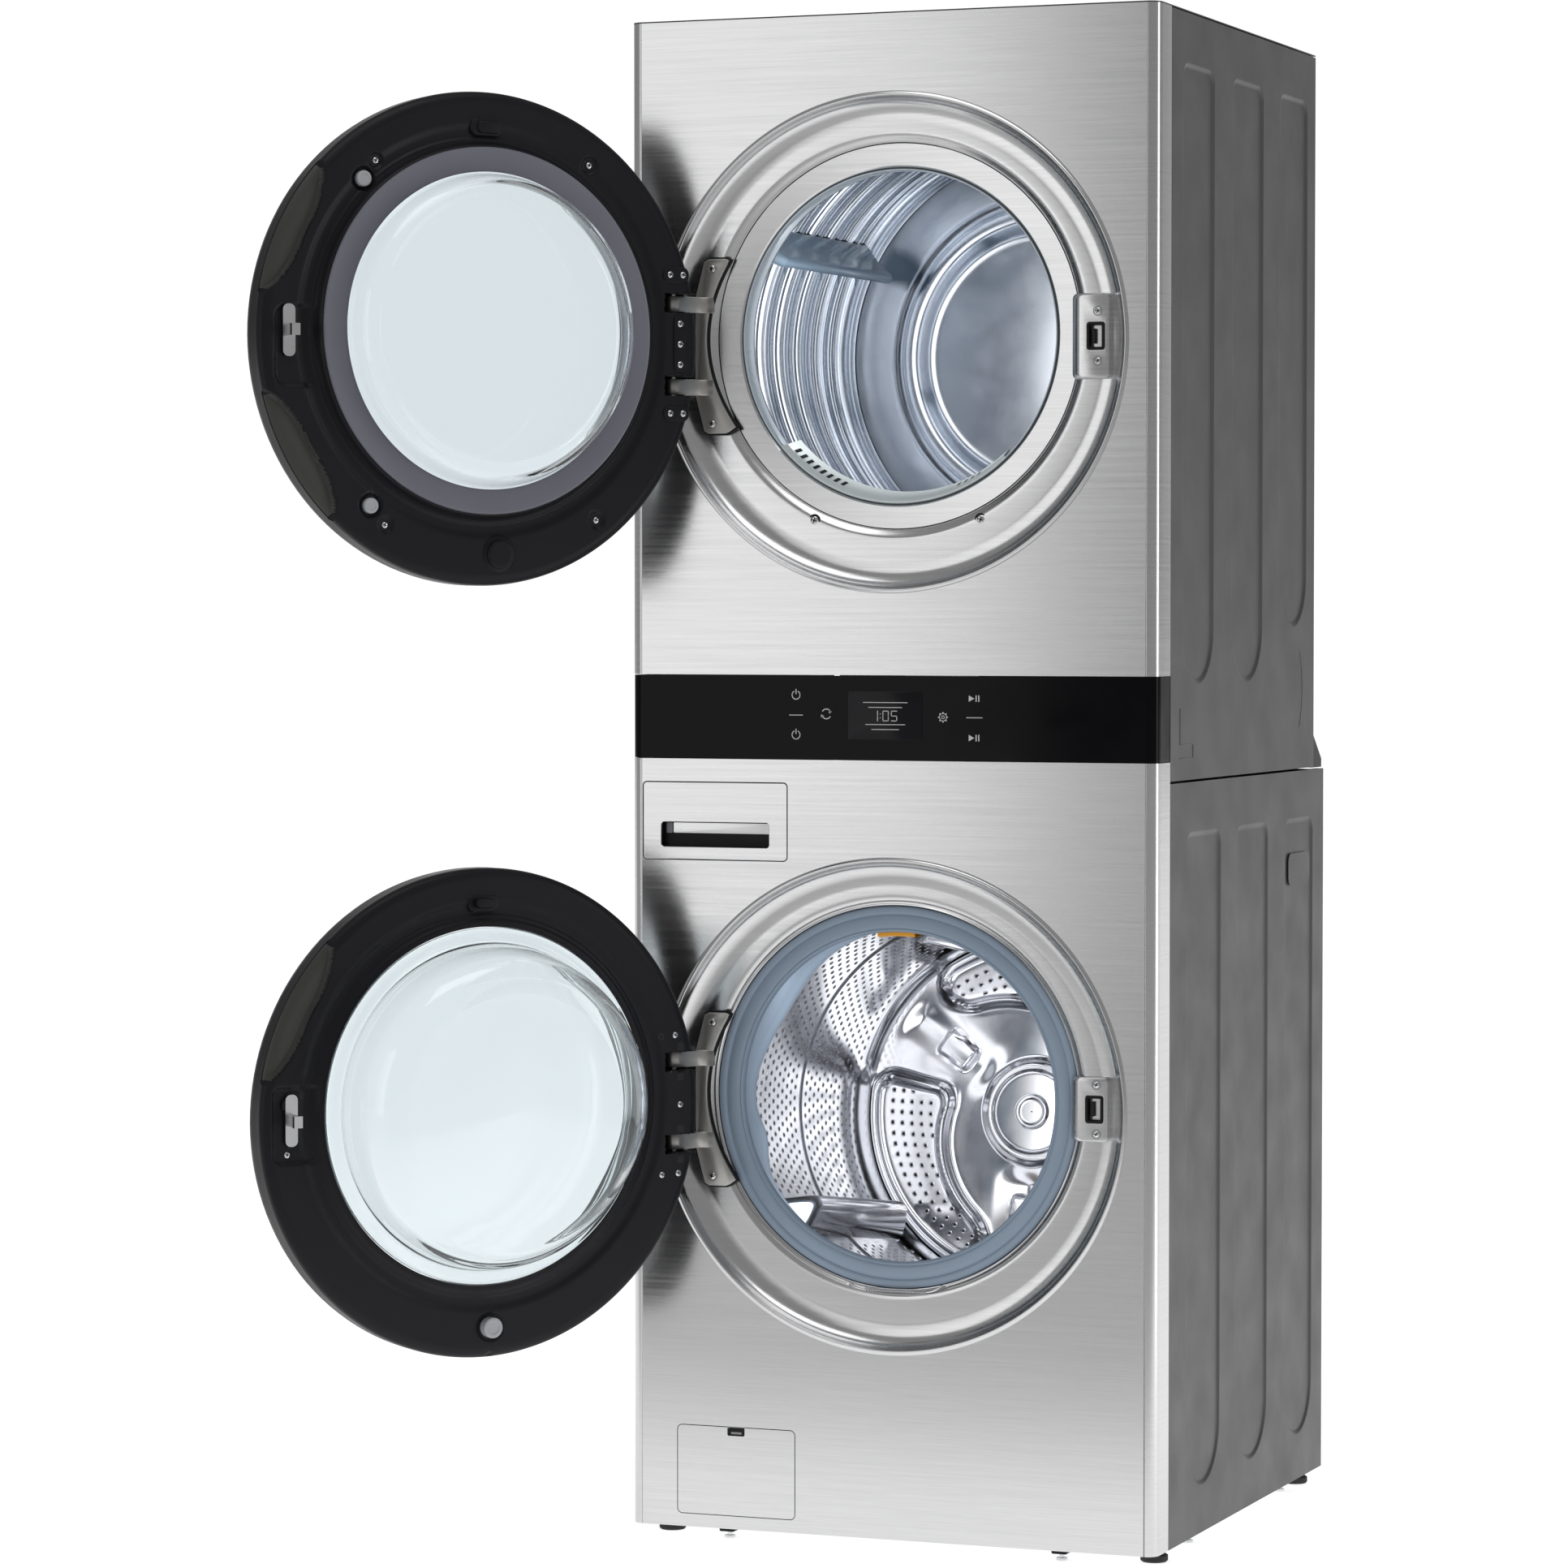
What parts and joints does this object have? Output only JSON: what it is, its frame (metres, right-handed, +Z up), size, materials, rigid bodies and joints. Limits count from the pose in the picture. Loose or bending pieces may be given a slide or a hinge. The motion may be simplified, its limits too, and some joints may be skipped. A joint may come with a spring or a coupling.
{
  "type": "stacked washer dryer",
  "caption": "Tall stacked laundry appliance: front-loading washer below, dryer above, glass control band between, round doors swung open to the left.",
  "frame": {"origin": "on the floor under the middle of the front face", "axes": "+Z up, +X to the right seen from the front, +Y from the front face to the back"},
  "size_m": [0.9806, 1.2286, 1.889],
  "materials": {
    "brushed_steel": "horizontal grain, satin",
    "painted_sides": "dark grey paint, satin",
    "galvanised": "zinc grey, satin",
    "black_glass": "gloss",
    "black_plastic": "satin",
    "grey_plastic": "satin",
    "white_plastic": "satin",
    "clear_glass": "clear",
    "tinted_glass": "dark tint",
    "rubber_grey": "blue-grey, matte",
    "rubber_black": "matte",
    "polished_steel": "polished",
    "cast_metal": "cast, satin",
    "motor_metal": "painted, matte",
    "copper": "varnished winding",
    "blue_plastic": "pale blue-grey"
  },
  "bodies": {
    "cabinet": {"base_frame": "galvanised", "foot_pads": "rubber_black", "foot_stems": "polished_steel", "washer_side_left": "painted_sides", "washer_side_right": "painted_sides", "washer_rear_panel": "galvanised", "washer_front_panel": "brushed_steel", "dryer_side_left": "painted_sides", "dryer_side_right": "painted_sides", "dryer_rear_panel": "galvanised", "dryer_front_panel": "brushed_steel", "top_panel": "painted_sides", "rear_joint_cover": "black_plastic", "control_housing": "black_plastic", "control_glass": "black_glass", "dispenser_housing": "grey_plastic", "drain_pump": "white_plastic", "water_inlet_valves": "white_plastic", "washer_tub": "grey_plastic", "motor_stator": "copper", "door_gasket": "rubber_grey", "gasket_clamp": "polished_steel", "tub_suspension": "motor_metal", "washer_door_lock": "black_plastic", "washer_hinge_bracket": "cast_metal", "dryer_front_ring": "brushed_steel", "lint_duct": "white_plastic", "blower_housing": "grey_plastic", "dryer_rear_bulkhead": "polished_steel", "drive_motor": "motor_metal", "drive_belt": "rubber_black", "exhaust_duct": "galvanised", "dryer_door_latch": "black_plastic", "dryer_hinge_bracket": "cast_metal"},
    "dispenser_drawer": {"dispenser_drawer": "white_plastic", "dispenser_front": "brushed_steel"},
    "service_flap": {"service_flap": "brushed_steel"},
    "drain_filter_cap": {"drain_filter_cap": "black_plastic"},
    "washer_drum": {"washer_drum": "polished_steel", "washer_drum_lifters": "polished_steel", "washer_drum_spider": "cast_metal", "motor_rotor": "motor_metal"},
    "washer_door": {"washer_door_frame": "black_plastic", "washer_door_inner": "black_plastic", "washer_door_glass": "tinted_glass", "washer_door_bowl": "clear_glass", "washer_door_hardware": "polished_steel"},
    "dryer_door": {"dryer_door_frame": "black_plastic", "dryer_door_inner": "black_plastic", "dryer_door_glass": "tinted_glass", "dryer_door_bowl": "clear_glass", "dryer_door_hardware": "polished_steel"},
    "lint_filter": {"lint_filter": "white_plastic"},
    "dryer_drum": {"dryer_drum": "polished_steel", "dryer_drum_lifters": "blue_plastic"},
    "drum_roller_left": {"drum_roller_left": "rubber_black"},
    "drum_roller_right": {"drum_roller_right": "rubber_black"},
    "motor_shaft": {"motor_pulley": "cast_metal", "blower_wheel": "white_plastic"},
    "idler_pulley": {"idler_pulley": "black_plastic"}
  },
  "joints": [
    {"name": "washer_door_hinge", "type": "hinge", "parent": "cabinet", "child": "washer_door", "pos_m": [-0.278, -0.02, 0.552], "axis": [0, 0, 1], "range_deg": [0, 128]},
    {"name": "dryer_door_hinge", "type": "hinge", "parent": "cabinet", "child": "dryer_door", "pos_m": [-0.278, -0.02, 1.487], "axis": [0, 0, 1], "range_deg": [0, 128]},
    {"name": "dispenser_slide", "type": "slide", "parent": "cabinet", "child": "dispenser_drawer", "axis": [0, -1, 0], "range_m": [0, 0.22]},
    {"name": "service_flap_hinge", "type": "hinge", "parent": "cabinet", "child": "service_flap", "pos_m": [-0.202, 0.008, 0.044], "axis": [1, 0, 0], "range_deg": [0, 90]},
    {"name": "drain_filter_turn", "type": "hinge", "parent": "cabinet", "child": "drain_filter_cap", "pos_m": [-0.202, 0.03, 0.092], "axis": [0, -1, 0], "range_deg": [0, 180]},
    {"name": "washer_drum_spin", "type": "hinge", "parent": "cabinet", "child": "washer_drum", "pos_m": [0, 0.05, 0.561], "axis": [0, 0.9919, -0.1271], "continuous": true},
    {"name": "dryer_drum_spin", "type": "hinge", "parent": "cabinet", "child": "dryer_drum", "pos_m": [0, 0.3, 1.496], "axis": [0, 1, 0], "continuous": true},
    {"name": "motor_spin", "type": "hinge", "parent": "cabinet", "child": "motor_shaft", "pos_m": [0.17, 0.38, 1.14], "axis": [0, 1, 0], "continuous": true},
    {"name": "idler_spin", "type": "hinge", "parent": "cabinet", "child": "idler_pulley", "pos_m": [0.08, 0.38, 1.165], "axis": [0, 1, 0], "continuous": true},
    {"name": "roller_left_spin", "type": "hinge", "parent": "cabinet", "child": "drum_roller_left", "pos_m": [-0.19572, 0.585, 1.24549], "axis": [0, 1, 0], "continuous": true},
    {"name": "roller_right_spin", "type": "hinge", "parent": "cabinet", "child": "drum_roller_right", "pos_m": [0.19572, 0.585, 1.24549], "axis": [0, 1, 0], "continuous": true},
    {"name": "lint_filter_slide", "type": "slide", "parent": "cabinet", "child": "lint_filter", "axis": [0, 0, -1], "range_m": [-0.15, 0]}
  ],
  "couplings": [
    {"joint": "motor_spin", "follows": "dryer_drum_spin", "ratio": 19.964},
    {"joint": "idler_spin", "follows": "dryer_drum_spin", "ratio": -11.646},
    {"joint": "roller_left_spin", "follows": "dryer_drum_spin", "ratio": -7.3553},
    {"joint": "roller_right_spin", "follows": "dryer_drum_spin", "ratio": -7.3553}
  ]
}
